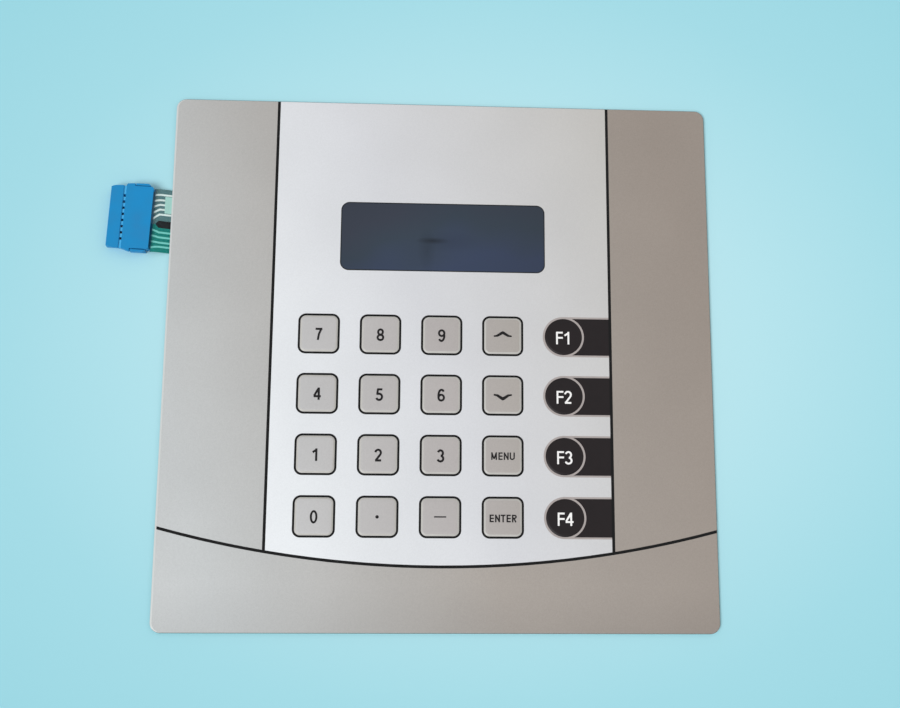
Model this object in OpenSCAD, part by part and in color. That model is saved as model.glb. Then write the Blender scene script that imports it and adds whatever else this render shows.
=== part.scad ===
// Membrane keypad: printed film panel with twenty embossed keys, a tinted display window,
// two printed circuit films and a flat tail that ends in a crimped socket connector.
// Units are millimetres. The panel lies on its back: the front is +Z, the top edge is +Y.
// The origin is the centre of the panel's rear face, which lies at z = 0.

/* [Panel] */
// Width of the panel
panel_w = 223.2; // [223:0.1:230]
// Height of the panel
panel_h = 222; // [218:0.5:230]
// Corner radius of the panel
panel_r = 4; // [2:0.5:6]
// Unprinted white margin at the left edge of the graphic film
margin_left = 0.7; // [0.3:0.1:1.5]
// Unprinted margin at its other edges
margin = 0.15; // [0.1:0.05:0.5]

/* [Layers] */
// Thickness of the release liner
liner_t = 0.12; // [0.08:0.01:0.2]
// Thickness of the rear adhesive
rear_adh_t = 0.13; // [0.1:0.01:0.3]
// Thickness of each circuit film
film_t = 0.15; // [0.12:0.01:0.25]
// Thickness of the spacer between the circuit films
spacer_t = 0.20; // [0.15:0.01:0.4]
// Thickness of the adhesive under the graphic film
top_adh_t = 0.15; // [0.1:0.01:0.25]
// Thickness of the graphic film
overlay_t = 0.25; // [0.2:0.01:0.4]
// Thickness of every printed field
ink_t = 0.05; // [0.04:0.01:0.08]
// Height of the embossed keys
emboss_h = 0.35; // [0.25:0.01:0.5]

/* [Keys] */
// Distance between key centres
pitch = 25; // [24.5:0.1:25.5]
// Centre of the first key column
key_x0 = -49.7; // [-51:0.05:-49]
// Centre of the first key row
key_y0 = 9.8; // [8:0.05:11]
// Centre of the function key column
f_x = 50.3; // [49.5:0.05:51]
// Size of a square key at the middle of its outline
key_size = 16; // [15:0.1:18]
// Corner radius of that outline
key_r = 2.7; // [2:0.1:4]
// Width of the outline
outline_w = 0.95; // [0.4:0.05:1.2]
// Width of the embossed slope inside the outline
slope_w = 0.65; // [0.5:0.05:1]
// Radius of a function key's disc
f_disc_r = 7.7; // [6.5:0.05:7.9]
// Outer radius of the ring around the disc
f_ring_r = 8.5; // [8.2:0.05:9]
// Height of the black bar beside the disc
f_block_h = 15.5; // [14:0.1:15.6]
// Width of the light rim along the bar
f_rim = 0.75; // [0.4:0.05:1]

/* [Divider lines] */
// Place of the left upright line
line_x_left = -68.95; // [-75:0.05:-65]
// Place of the right upright line
line_x_right = 69.65; // [65:0.05:75]
// Width of the upright lines
line_w = 1.2; // [0.4:0.05:1.6]
// Lowest point of the wide arc
arc_low_y = -85; // [-90:0.1:-80]
// Radius of the wide arc
arc_r = 425; // [380:5:600]
// Width of the arc's line
arc_w = 1.2; // [0.5:0.1:1.6]

/* [Display window] */
// Centre of the window across the panel
win_x = 0.5; // [-3:0.1:3]
// Centre of the window up the panel
win_y = 51.9; // [50:0.1:60]
// Width of the window
win_w = 84.8; // [76:0.1:90]
// Height of the window
win_h = 29.75; // [24:0.05:32]
// Corner radius of the window
win_r = 3.6; // [2:0.1:5]
// Width of the window's dark border
win_border = 0.45; // [0.3:0.05:1]
// The layers behind the film are cut this much inside the window
win_inset = 0.6; // [0.5:0.1:1.5]

/* [Tail] */
// Centre line of the tail
tail_y = 56.8; // [56.3:0.1:57.3]
// Upper edge of the tail
tail_top = 70.4; // [70.2:0.1:71.5]
// Lower edge of the tail
tail_bottom = 43.1; // [42:0.1:43.3]
// Upper edge of the slot in the tail
slot_top = 56.65; // [56.45:0.05:57.3]
// Lower edge of the slot in the tail
slot_bottom = 53.6; // [53.1:0.05:53.8]
// Length of the slot from the panel's edge to its pointed end
slot_len = 6.1; // [5.8:0.05:6.4]
// Length of the wide part of the tail, up to its neck
tail_len = 7.05; // [6.9:0.05:7.4]
// Length of the neck inside the connector
neck_len = 7; // [6.5:0.1:7.4]
// Distance between the tracks beside each other in the panel
lane = 3; // [2:0.1:3.4]
// Width of one printed conductor
trace_w = 0.8; // [0.5:0.05:1]
// Radius of a contact pad behind a key
pad_r = 5.5; // [4:0.1:6]
// Radius of the spacer's hole behind a key
hole_r = 6.25; // [5.8:0.05:7]
// Height of the tail's underside where it enters the connector
conn_z = 2.10; // [1.9:0.05:2.3]

/* [Connector] */
// Gap between the panel's edge and the face where the tail enters
conn_gap = 7.6; // [7.35:0.05:8]
// Turn of the connector against the tail, in degrees
conn_turn = -2.3; // [-2.5:0.1:0]
// Length of the connector
conn_len = 17.2; // [17:0.1:19]
// Length of its cover
cover_len = 11; // [10.8:0.1:11.2]
// Half width of the front block at its mating end
nose_half = 12.95; // [12.8:0.05:13.2]
// Half width of the front block at the cover
front_half = 13.35; // [13.2:0.05:13.6]
// Half width of the cover and tray between the latch arms
cover_half = 13.3; // [13.2:0.05:13.4]
// Half width over the latch arms
arm_half = 14.5; // [14.3:0.05:15]
// Width of the groove with the inspection windows
groove_w = 1.2; // [1:0.1:1.5]
// Height of the front block
front_top = 4.3; // [4:0.1:4.6]
// Height of the groove's floor
groove_top = 3.7; // [3.4:0.1:3.9]
// Height of the cover's top
cover_top = 4.6; // [4.4:0.1:5]

/* [Hidden] */
$fn = 48;
eps = 0.01;

// The print's own centre line across the panel
art_x = 0.5;

// The panel's left edge, and the place inside it where the tail grows out of the films
edge_x = -panel_w / 2;
root_x = edge_x + 1.45;

// The slot's tip and bend, the tail's neck inside the connector, and its ramp
slot_tip_x = edge_x - slot_len;
slot_tip_y = slot_bottom + 1.5;
slot_bend_x = slot_tip_x + 1.3;
neck_x = edge_x - tail_len;
tail_end_x = neck_x - neck_len;
neck_half = 12.5;
ramp_x0 = edge_x - 0.45;
ramp_x1 = ramp_x0 - 5.2;
coat_end_x = neck_x - 2;
conn_x = edge_x - conn_gap;

// Pale patch on the tail beside the panel's edge: its length, height and distance from the top
patch_len = 2.7;
patch_h = 7.3;
patch_drop = 3.1;

// How much further the front block and the cover reach towards the panel's top edge, and how
// far the lower part of the tail's end reaches towards the turned connector
block_more = 0.5;
cover_more = 0.3;
low_x = max(neck_x - 0.75, conn_x + neck_half * sin(conn_turn) + 0.3);

// Contact spacing, spacing of the small windows, floor, width and top of a socket
conn_pitch = 2.54;
view_pitch = 2.66;
floor_z = 1.5;
bore_w = 1.5;
bore_top = 2.9;

// Heights of the layers
z_adh = liner_t;
z_low = z_adh + rear_adh_t;
z_spc = z_low + film_t;
z_up = z_spc + spacer_t;
z_tadh = z_up + film_t;
z_ovl = z_tadh + top_adh_t;
z_ink = z_ovl + overlay_t;
z_key = z_ink + emboss_h;
z_leg = z_key + ink_t;

// Lines of the conductors from the top, at the connector and where they leave the panel
conn_y = [for (i = [0:9]) (4.5 - i) * conn_pitch];
col_root = [for (d = [2.45, 4.75, 6.8, 8.85, 11]) tail_top - d];
row_root = [for (d = [8.55, 6.4, 4.15, 2.35]) tail_bottom + d];
col_pos = [0, 1, 2, 3, 4];
row_pos = [6, 7, 8, 9];

function key_x(c) = c < 4 ? key_x0 + c * pitch : f_x;
function key_y(r) = key_y0 - r * pitch;

// Flat rounded rectangle, centred
module rounded(w, h, r) {
    square([w - 2 * r, h], center = true);
    square([w, h - 2 * r], center = true);
    for (x = [-1, 1], y = [-1, 1])
        translate([x * (w / 2 - r), y * (h / 2 - r)]) circle(r);
}

module sheet(z, t) {
    translate([0, 0, z]) linear_extrude(t) rounded(panel_w, panel_h, panel_r);
}

// Opening of the display window in the layers behind the graphic film
module window_cut(z, t, inset = win_inset) {
    translate([win_x, win_y, z - eps]) linear_extrude(t + 2 * eps)
        rounded(win_w - 2 * inset, win_h - 2 * inset, win_r - inset);
}

module at_keys() {
    for (c = [0:3], r = [0:3]) translate([key_x(c), key_y(r), 0]) children();
}

module at_f_keys() {
    for (r = [0:3]) translate([f_x, key_y(r), 0]) children();
}

// Raised square key: foot half width a with corner radius ra, walls lean in by s over height h
module raised_square(a, ra, s, h) {
    k = a - ra;
    for (x = [-1, 1], y = [-1, 1])
        translate([x * k, y * k, 0]) cylinder(r1 = ra, r2 = ra - s, h = h);
    rotate([90, 0, 0]) translate([0, 0, -k]) linear_extrude(2 * k)
        polygon([[-a, 0], [a, 0], [a - s, h], [s - a, h]]);
    rotate([90, 0, 90]) translate([0, 0, -k]) linear_extrude(2 * k)
        polygon([[-a, 0], [a, 0], [a - s, h], [s - a, h]]);
}

foot_a = key_size / 2 - outline_w / 2;
foot_r = key_r - outline_w / 2;
top_a = foot_a - slope_w;
top_r = foot_r - slope_w;

// Graphic film with its embossed keys, hollow behind each of them
module overlay_film() color([0.84, 0.85, 0.85]) {
    difference() {
        union() {
            sheet(z_ovl, overlay_t);
            at_keys() translate([0, 0, z_ink]) raised_square(foot_a, foot_r, slope_w, emboss_h);
            at_f_keys() translate([0, 0, z_ink]) cylinder(r1 = f_disc_r - 0.05,
                r2 = f_disc_r - 0.45, h = emboss_h);
        }
        at_keys() translate([0, 0, z_ovl - eps]) linear_extrude(emboss_h + eps)
            rounded(2 * top_a - 0.5, 2 * top_a - 0.5, top_r - 0.2);
        at_f_keys() translate([0, 0, z_ovl - eps]) cylinder(r = f_disc_r - 0.8, h = emboss_h + eps);
    }
}

// Whole printed area inside the unprinted margin
module print_area() {
    translate([(margin_left - margin) / 2, 0])
        rounded(panel_w - margin_left - margin, panel_h - 2 * margin, panel_r - margin);
}

module arc_disc(extra) {
    translate([art_x, arc_low_y + arc_r]) circle(arc_r + extra, $fn = 360);
}

module band(x0, x1) {
    translate([x0, -150]) square([x1 - x0, 300]);
}

module key_outer() {
    rounded(key_size + outline_w, key_size + outline_w, key_r + outline_w / 2);
}

// Outline of one function key's surround: a ring and a bar that runs to the right divider
module f_silhouette() {
    circle(f_ring_r);
    translate([0, -f_block_h / 2 - f_rim])
        square([line_x_right - line_w / 2 - f_x, f_block_h + 2 * f_rim]);
}

module field_centre() color([0.86, 0.87, 0.89]) translate([0, 0, z_ink]) linear_extrude(ink_t)
    difference() {
        intersection() {
            print_area();
            band(line_x_left + line_w / 2, line_x_right - line_w / 2);
            arc_disc(-arc_w / 2);
        }
        for (c = [0:3], r = [0:3]) translate([key_x(c), key_y(r)]) key_outer();
        for (r = [0:3]) translate([f_x, key_y(r)]) f_silhouette();
        translate([win_x, win_y]) rounded(win_w, win_h, win_r);
    }

module field_left() color([0.72, 0.73, 0.72]) translate([0, 0, z_ink]) linear_extrude(ink_t)
    intersection() {
        print_area();
        band(-150, line_x_left - line_w / 2);
        arc_disc(-arc_w / 2);
    }

module field_right() color([0.68, 0.66, 0.64]) translate([0, 0, z_ink]) linear_extrude(ink_t)
    intersection() {
        print_area();
        band(line_x_right + line_w / 2, 150);
        arc_disc(-arc_w / 2);
    }

module field_lower() color([0.72, 0.71, 0.70]) translate([0, 0, z_ink]) linear_extrude(ink_t)
    difference() {
        print_area();
        arc_disc(arc_w / 2);
        translate([-150, 0]) square([300, 150]);
    }

// The two upright lines and the wide arc below the keys are one print
module divider_lines() color([0.14, 0.16, 0.17]) translate([0, 0, z_ink]) linear_extrude(ink_t)
    union() {
        intersection() {
            print_area();
            union() {
                band(line_x_left - line_w / 2, line_x_left + line_w / 2);
                band(line_x_right - line_w / 2, line_x_right + line_w / 2);
            }
            arc_disc(0);
        }
        intersection() {
            difference() {
                arc_disc(arc_w / 2);
                arc_disc(-arc_w / 2);
            }
            print_area();
            translate([-150, -120]) square([300, 70]);
        }
    }

module key_outlines() color([0.14, 0.15, 0.15]) at_keys() translate([0, 0, z_ink])
    linear_extrude(ink_t) difference() {
        key_outer();
        rounded(key_size - outline_w, key_size - outline_w, key_r - outline_w / 2);
    }

// Light ring and rims around the black bar of each function key
module f_surrounds() color([0.70, 0.68, 0.68]) at_f_keys() translate([0, 0, z_ink])
    linear_extrude(ink_t) difference() {
        f_silhouette();
        circle(f_disc_r);
        difference() {
            translate([0, -f_block_h / 2]) square([40, f_block_h]);
            circle(f_ring_r);
        }
    }

module f_blocks() color([0.19, 0.17, 0.17]) at_f_keys() translate([0, 0, z_ink])
    linear_extrude(ink_t) difference() {
        translate([0, -f_block_h / 2])
            square([line_x_right - line_w / 2 - f_x, f_block_h]);
        circle(f_ring_r);
    }

module window_tint() color([0.24, 0.27, 0.33]) translate([win_x, win_y, z_ink])
    linear_extrude(ink_t)
        rounded(win_w - 2 * win_border, win_h - 2 * win_border, win_r - win_border);

module window_border() color([0.17, 0.20, 0.23]) translate([win_x, win_y, z_ink])
    linear_extrude(ink_t) difference() {
        rounded(win_w, win_h, win_r);
        rounded(win_w - 2 * win_border, win_h - 2 * win_border, win_r - win_border);
    }

// Printed field on top of one embossed key
module key_field(c, r) color([0.72, 0.71, 0.69]) translate([key_x(c), key_y(r), z_key])
    linear_extrude(ink_t) rounded(2 * top_a, 2 * top_a, top_r);

module key_7() key_field(0, 0);
module key_8() key_field(1, 0);
module key_9() key_field(2, 0);
module key_up() key_field(3, 0);
module key_4() key_field(0, 1);
module key_5() key_field(1, 1);
module key_6() key_field(2, 1);
module key_down() key_field(3, 1);
module key_1() key_field(0, 2);
module key_2() key_field(1, 2);
module key_3() key_field(2, 2);
module key_menu() key_field(3, 2);
module key_0() key_field(0, 3);
module key_dot() key_field(1, 3);
module key_minus() key_field(2, 3);
module key_enter() key_field(3, 3);

// Black print over one embossed round function key
module f_key_field(r) color([0.19, 0.17, 0.17]) translate([f_x, key_y(r), z_ink])
    difference() {
        cylinder(r1 = f_disc_r, r2 = f_disc_r - 0.45 * (emboss_h + ink_t) / emboss_h + 0.05,
            h = emboss_h + ink_t);
        translate([0, 0, -eps]) cylinder(r1 = f_disc_r - 0.05 + 0.4 * eps / emboss_h,
            r2 = f_disc_r - 0.45, h = emboss_h + eps);
    }

module key_f1() f_key_field(0);
module key_f2() f_key_field(1);
module key_f3() f_key_field(2);
module key_f4() f_key_field(3);

// Stroke lettering. A stroke is an open line of points, drawn with mitred corners.
function unit(v) = v / norm(v);
function left_of(v) = [-v[1], v[0]];
function side(p, i) =
    let (n = len(p),
         a = i > 0 ? unit(p[i] - p[i - 1]) : unit(p[1] - p[0]),
         b = i < n - 1 ? unit(p[i + 1] - p[i]) : a,
         m = unit(left_of(a) + left_of(b)))
    m / (m * left_of(a));
function arc(x, y, rx, ry, a0, a1, n) =
    [for (i = [0:n]) let (a = a0 + (a1 - a0) * i / n) [x + rx * cos(a), y + ry * sin(a)]];

module stroke(p, w) {
    n = len(p);
    polygon(concat([for (i = [0:n - 1]) p[i] + side(p, i) * w / 2],
        [for (i = [n - 1:-1:0]) p[i] - side(p, i) * w / 2]));
}

module loop(x, y, rx, ry, w, n = 20) {
    difference() {
        polygon(arc(x, y, rx + w / 2, ry + w / 2, 0, 360 - 360 / n, n - 1));
        polygon(arc(x, y, rx - w / 2, ry - w / 2, 0, 360 - 360 / n, n - 1));
    }
}

// Straight bar between two points
module bar(p, q, w) {
    stroke([p, q], w);
}

// One letter or digit, one unit high, with its left edge at x = 0
module glyph(g, w) {
    h = w / 2;
    if (g == "0") loop(0.31, 0.5, 0.22, 0.43, w);
    if (g == "1") {
        bar([0.38, 0], [0.38, 1], w);
        bar([0.08, 0.68], [0.40, 0.90], w);
    }
    if (g == "2") {
        stroke(concat(arc(0.30, 0.70, 0.22, 0.23, 175, -35, 10), [[0.12, h]]), w);
        bar([0.05, h], [0.56, h], w);
    }
    if (g == "3") {
        stroke(arc(0.29, 0.71, 0.20, 0.22, 165, -85, 10), w);
        stroke(arc(0.29, 0.28, 0.23, 0.22, 85, -165, 10), w);
    }
    if (g == "4") {
        bar([0.44, 0], [0.44, 1], w);
        bar([0.42, 0.94], [0.07, 0.34], w);
        bar([0.02, 0.30], [0.62, 0.30], w);
    }
    if (g == "5") {
        bar([0.12, 1 - h], [0.56, 1 - h], w);
        bar([0.19, 0.94], [0.14, 0.46], w);
        stroke(arc(0.29, 0.31, 0.24, 0.25, 130, -160, 11), w);
    }
    if (g == "6") {
        loop(0.31, 0.30, 0.22, 0.23, w);
        stroke(arc(0.33, 0.50, 0.24, 0.43, 195, 40, 9), w);
    }
    if (g == "7") {
        bar([0.03, 1 - h], [0.60, 1 - h], w);
        stroke([[0.52, 0.95], [0.32, 0.50], [0.24, 0]], w);
    }
    if (g == "8") {
        loop(0.31, 0.72, 0.19, 0.21, w);
        loop(0.31, 0.28, 0.23, 0.21, w);
    }
    if (g == "9") {
        loop(0.30, 0.70, 0.22, 0.23, w);
        stroke(arc(0.28, 0.50, 0.24, 0.43, 15, -140, 9), w);
    }
    if (g == "E" || g == "F") {
        bar([0.06 + h, 0], [0.06 + h, 1], w);
        for (y = g == "E" ? [h, 0.5, 1 - h] : [0.52, 1 - h]) bar([0.08, y], [0.60, y], w);
    }
    if (g == "M") {
        for (x = [0.06 + h, 0.80 - h]) bar([x, 0], [x, 1], w);
        for (x = [0.14, 0.72]) bar([x, 0.96], [0.43, 0.12], w);
    }
    if (g == "N") {
        for (x = [0.06 + h, 0.70 - h]) bar([x, 0], [x, 1], w);
        bar([0.13, 0.95], [0.63, 0.05], w);
    }
    if (g == "R") {
        bar([0.06 + h, 0], [0.06 + h, 1], w);
        stroke(concat([[0.10, 1 - h]], arc(0.40, 0.72, 0.18, 0.28 - h, 90, -90, 8),
            [[0.10, 0.44 + h]]), w);
        bar([0.32, 0.50], [0.56, 0.01], w);
    }
    if (g == "T") {
        bar([0.30, 0], [0.30, 0.98], w);
        bar([0, 1 - h], [0.60, 1 - h], w);
    }
    if (g == "U") {
        stroke(concat([[0.13, 1]], arc(0.37, 0.30, 0.24, 0.21, 180, 360, 10), [[0.61, 1]]), w);
    }
}

// One word of glyphs with the given steps, centred on the key
module word(letters, steps, size, w, total, wide = 1) {
    scale([size * wide, size]) translate([-total / 2, -0.5])
        for (i = [0:len(letters) - 1]) translate([steps[i], 0]) glyph(letters[i], w);
}

module digit(c, r, g) {
    translate([key_x(c), key_y(r) - 0.25]) word([g], [0], 5.2, 0.19, 0.62, 0.96);
}

// Wide arrow head, thick at its peak and thin at its ends
module arrow(up) {
    scale([1, up]) polygon([[-3.7, 0.05], [-2.5, 0.38], [-0.65, 1.68], [0, 1.95], [0.65, 1.68],
        [2.5, 0.38], [3.7, 0.05], [3.6, -0.40], [2.0, -0.30], [0, 0.80], [-2.0, -0.30],
        [-3.6, -0.40]]);
}

module legends_black() color([0.10, 0.10, 0.10]) translate([0, 0, z_leg]) linear_extrude(ink_t) {
    digit(0, 0, "7");
    digit(1, 0, "8");
    digit(2, 0, "9");
    digit(0, 1, "4");
    digit(1, 1, "5");
    digit(2, 1, "6");
    digit(0, 2, "1");
    digit(1, 2, "2");
    digit(2, 2, "3");
    digit(0, 3, "0");
    translate([key_x(3), key_y(0)]) arrow(1);
    translate([key_x(3), key_y(1)]) arrow(-1.08);
    translate([key_x(1), key_y(3) - 0.1]) circle(0.68);
    translate([key_x(2) - 2.4, key_y(3) - 0.2]) square([4.8, 0.5]);
    translate([key_x(3), key_y(2) - 0.15])
        word(["M", "E", "N", "U"], [0, 0.92, 1.60, 2.38], 3.1, 0.18, 3.10, 1.02);
    translate([key_x(3), key_y(3) - 0.4])
        word(["E", "N", "T", "E", "R"], [0, 0.68, 1.46, 2.12, 2.80], 3.1, 0.19, 3.46, 1.03);
}

module legends_white() color([0.97, 0.97, 0.97]) translate([0, 0, z_leg]) linear_extrude(ink_t) {
    for (r = [0:3]) translate([f_x, key_y(r) - 0.55])
        word(["F", ["1", "2", "3", "4"][r]], [0, 0.62], 5.5, 0.165, 1.26);
}

// Adhesive layers
module overlay_adhesive() color([0.90, 0.90, 0.86]) difference() {
    sheet(z_tadh, top_adh_t);
    window_cut(z_tadh, top_adh_t);
}

module rear_adhesive() color([0.88, 0.88, 0.82]) difference() {
    sheet(z_adh, rear_adh_t);
    window_cut(z_adh, rear_adh_t);
}

// Spacer with a hole behind every key and vent channels between the holes
module spacer() color([0.92, 0.93, 0.94]) difference() {
    sheet(z_spc, spacer_t);
    window_cut(z_spc, spacer_t);
    for (c = [0:4], r = [0:3]) translate([key_x(c), key_y(r), z_spc - eps])
        cylinder(r = hole_r, h = spacer_t + 2 * eps);
    for (r = [0:3]) translate([key_x0, key_y(r) - 0.6, z_spc - eps])
        cube([f_x - key_x0, 1.2, spacer_t + 2 * eps]);
    translate([key_x(2) - 0.6, key_y(3), z_spc - eps])
        cube([1.2, 3 * pitch, spacer_t + 2 * eps]);
}

// A layer of the tail: level in the panel, a ramp, then level in the connector
module tail_layer(z0, z1, t) {
    rotate([90, 0, 0]) translate([0, 0, -tail_top - 5]) linear_extrude(tail_top - tail_bottom + 10)
        polygon([[root_x + 0.2, z0], [ramp_x0, z0], [ramp_x1, z1], [tail_end_x - 1, z1],
            [tail_end_x - 1, z1 + t], [ramp_x1, z1 + t], [ramp_x0, z0 + t], [root_x + 0.2, z0 + t]]);
}

// Plan outline of the upper half of the tail, from x_in on the panel side
module upper_plan(x_in, x_out) {
    translate([0, 0, -1]) linear_extrude(6) polygon([[x_in, tail_top], [neck_x, tail_top],
        [neck_x, tail_y + neck_half], [x_out, tail_y + neck_half], [x_out, slot_tip_y],
        [slot_tip_x, slot_tip_y], [slot_bend_x, slot_top], [x_in, slot_top]]);
}

module lower_plan(x_in, x_out) {
    translate([0, 0, -1]) linear_extrude(6) polygon([[x_in, tail_bottom], [low_x, tail_bottom],
        [low_x, tail_y - neck_half], [x_out, tail_y - neck_half], [x_out, slot_tip_y],
        [slot_tip_x, slot_tip_y], [slot_bend_x, slot_bottom], [x_in, slot_bottom]]);
}

// Plan of one conductor of the tail, y0 at the panel, y1 at the connector and drop below it
// where the conductor goes into the mouth
module trace_plan(y0, y1, drop) {
    translate([0, 0, -1]) linear_extrude(6)
        stroke([[root_x - 0.3, y0], [neck_x + 2.5, y0], [neck_x - 0.2, y1 - drop],
            [tail_end_x + 0.8, y1 - 0.2]], trace_w);
}

// Track of axis-parallel pieces between two points, in the plane of a film
module track(p, q) {
    w = trace_w;
    x0 = min(p[0], q[0]) - w / 2;
    y0 = min(p[1], q[1]) - w / 2;
    translate([x0, y0]) square([abs(p[0] - q[0]) + w, abs(p[1] - q[1]) + w]);
}

// Column conductor c of the upper film: four pads, its track and its tail line
ink = 0.05;
module column_body(c) {
    level = key_y0 + 0.45 * pitch + lane * c;
    up_x = edge_x + 7.65 + lane * c;
    y0 = col_root[4 - c];
    translate([0, 0, z_up]) linear_extrude(ink) {
        for (r = [0:3]) translate([key_x(c), key_y(r)]) circle(pad_r);
        track([key_x(c), key_y(3)], [key_x(c), level]);
        track([key_x(c), level], [up_x, level]);
        track([up_x, level], [up_x, y0]);
        track([up_x, y0], [root_x - 0.4, y0]);
    }
    intersection() {
        tail_layer(z_up, conn_z + 0.05, ink);
        trace_plan(y0, tail_y + conn_y[4 - c], 0.65);
    }
}

// Row conductor r of the lower film: five pads, its track and its tail line
module row_body(r) {
    up_x = edge_x + 16.65 - lane * r;
    y0 = row_root[r];
    translate([0, 0, z_spc - ink]) linear_extrude(ink) {
        for (c = [0:4]) translate([key_x(c), key_y(r)]) circle(pad_r);
        track([key_x(4), key_y(r)], [up_x, key_y(r)]);
        track([up_x, key_y(r)], [up_x, y0]);
        track([up_x, y0], [root_x - 0.4, y0]);
    }
    intersection() {
        tail_layer(z_spc - ink, conn_z + film_t - ink, ink);
        trace_plan(y0, tail_y + conn_y[6 + r], 0.3);
    }
}

module column_1() color([0.84, 0.90, 0.89]) column_body(0);
module column_2() color([0.84, 0.90, 0.89]) column_body(1);
module column_3() color([0.84, 0.90, 0.89]) column_body(2);
module column_4() color([0.84, 0.90, 0.89]) column_body(3);
module column_5() color([0.84, 0.90, 0.89]) column_body(4);
module row_1() color([0.50, 0.84, 0.78]) row_body(0);
module row_2() color([0.50, 0.84, 0.78]) row_body(1);
module row_3() color([0.50, 0.84, 0.78]) row_body(2);
module row_4() color([0.50, 0.84, 0.78]) row_body(3);

// Clear upper circuit film; its conductors are sunk in its underside
module upper_circuit() color([0.55, 0.62, 0.60]) difference() {
    union() {
        sheet(z_up, film_t);
        intersection() {
            tail_layer(z_up, conn_z + 0.05, film_t);
            upper_plan(root_x, tail_end_x);
        }
    }
    window_cut(z_up, film_t);
    for (c = [0:4]) column_body(c);
}

// Clear lower circuit film; its conductors are sunk in its top
module lower_circuit() color([0.30, 0.55, 0.50]) difference() {
    union() {
        sheet(z_low, film_t);
        intersection() {
            tail_layer(z_low, conn_z, film_t);
            lower_plan(root_x, tail_end_x);
        }
    }
    window_cut(z_low, film_t);
    for (r = [0:3]) row_body(r);
}

// Insulating coat under the upper tail
module upper_coat() color([0.20, 0.29, 0.27]) intersection() {
    tail_layer(z_up - 0.05, conn_z, 0.05);
    upper_plan(edge_x, coat_end_x);
}

// Pale patch on top of the upper tail beside the panel's edge
module tail_patch() color([0.66, 0.84, 0.79]) intersection() {
    tail_layer(z_up + film_t, conn_z + 0.05 + film_t, 0.05);
    translate([edge_x - patch_len, tail_top - patch_drop - patch_h, -1])
        cube([patch_len, patch_h, 6]);
}

// Green insulating coat on top of the lower tail
module lower_coat() color([0.12, 0.47, 0.41]) intersection() {
    tail_layer(z_spc, conn_z + film_t, 0.05);
    lower_plan(edge_x, coat_end_x);
}

// Black strip in the slot between the two halves of the tail
module slot_strip() color([0.10, 0.10, 0.12]) intersection() {
    tail_layer(z_low, conn_z, film_t);
    translate([0, 0, -1]) linear_extrude(6) polygon([[edge_x, slot_top],
        [slot_bend_x, slot_top], [slot_tip_x, slot_tip_y], [slot_bend_x, slot_bottom],
        [edge_x, slot_bottom]]);
}

// Release liner, split into four strips around the window opening
liner_x0 = win_x - win_w / 2 + win_inset;
liner_x1 = win_x + win_w / 2 - win_inset;
liner_y0 = win_y - win_h / 2 + win_inset;
liner_y1 = win_y + win_h / 2 - win_inset;

module liner_part(x0, y0, x1, y1) color([0.93, 0.93, 0.90]) intersection() {
    sheet(0, liner_t);
    translate([x0, y0, -1]) cube([x1 - x0, y1 - y0, 3]);
}

module liner_top() liner_part(-150, liner_y1, 150, 150);
module liner_bottom() liner_part(-150, -150, 150, liner_y0);
module liner_left() liner_part(-150, liner_y0, liner_x0, liner_y1);
module liner_right() liner_part(liner_x1, liner_y0, 150, liner_y1);

// The connector's own frame: x = 0 at the face where the tail goes in, -x to the mating face
module in_connector() {
    translate([conn_x, tail_y, 0]) rotate([0, 0, conn_turn]) children();
}

front_len = conn_len - cover_len;

// Solid of the housing or cover: a profile across the connector, cut to a plan outline
module shaped(x0, x1, profile, plan) {
    intersection() {
        translate([x0, 0, 0]) rotate([90, 0, 90]) linear_extrude(x1 - x0) polygon(profile);
        translate([0, 0, -1]) linear_extrude(7) polygon(plan);
    }
}

// Socket housing: a front block with ten sockets and a tray that carries the tail
module connector_housing() color([0.16, 0.55, 0.80]) in_connector() difference() {
    union() {
        shaped(-conn_len, -cover_len - groove_w, [[-12.2, 0], [12.2, 0],
            [front_half + block_more, 3.9], [front_half + block_more, front_top],
            [-front_half, front_top], [-front_half, 3.9]],
            [[-conn_len, 0.5 - nose_half], [3 - conn_len, 0.15 - front_half],
            [-cover_len, -front_half], [-cover_len, front_half + block_more],
            [2 - conn_len, front_half + block_more - 0.2], [0.7 - conn_len, nose_half + 0.4],
            [-conn_len, nose_half]]);
        shaped(-cover_len - groove_w, -cover_len, [[-12.2, 0], [12.2, 0], [13.7, 2.9],
            [13.7, groove_top], [-13.25, groove_top], [-13.25, 2.9]],
            [[-conn_len, -14], [0, -14], [0, 14], [-conn_len, 14]]);
        linear_extrude(conn_z) polygon([[-cover_len, -12.7], [-0.5, -12.7], [0, -12.3],
            [0, 12.3], [-0.5, 12.7], [-cover_len, 12.7]]);
        for (s = [-1, 1]) translate([-6.6, s * 12.95 - 0.3, 0.9]) cube([5.0, 0.6, 0.7]);
    }
    for (y = conn_y) {
        translate([-conn_len - eps, y - bore_w / 2, floor_z])
            cube([front_len + 2 * eps, bore_w, bore_top - floor_z]);
        translate([-cover_len - 0.1, y - bore_w / 2, floor_z]) cube([6.7, bore_w, 3]);
    }
    for (i = [1:8]) translate([-cover_len - groove_w + 0.15,
        (4.5 - i) * view_pitch + 0.15 - 0.55, bore_top - eps]) cube([groove_w - 0.3, 1.1, 2]);
}

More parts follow.
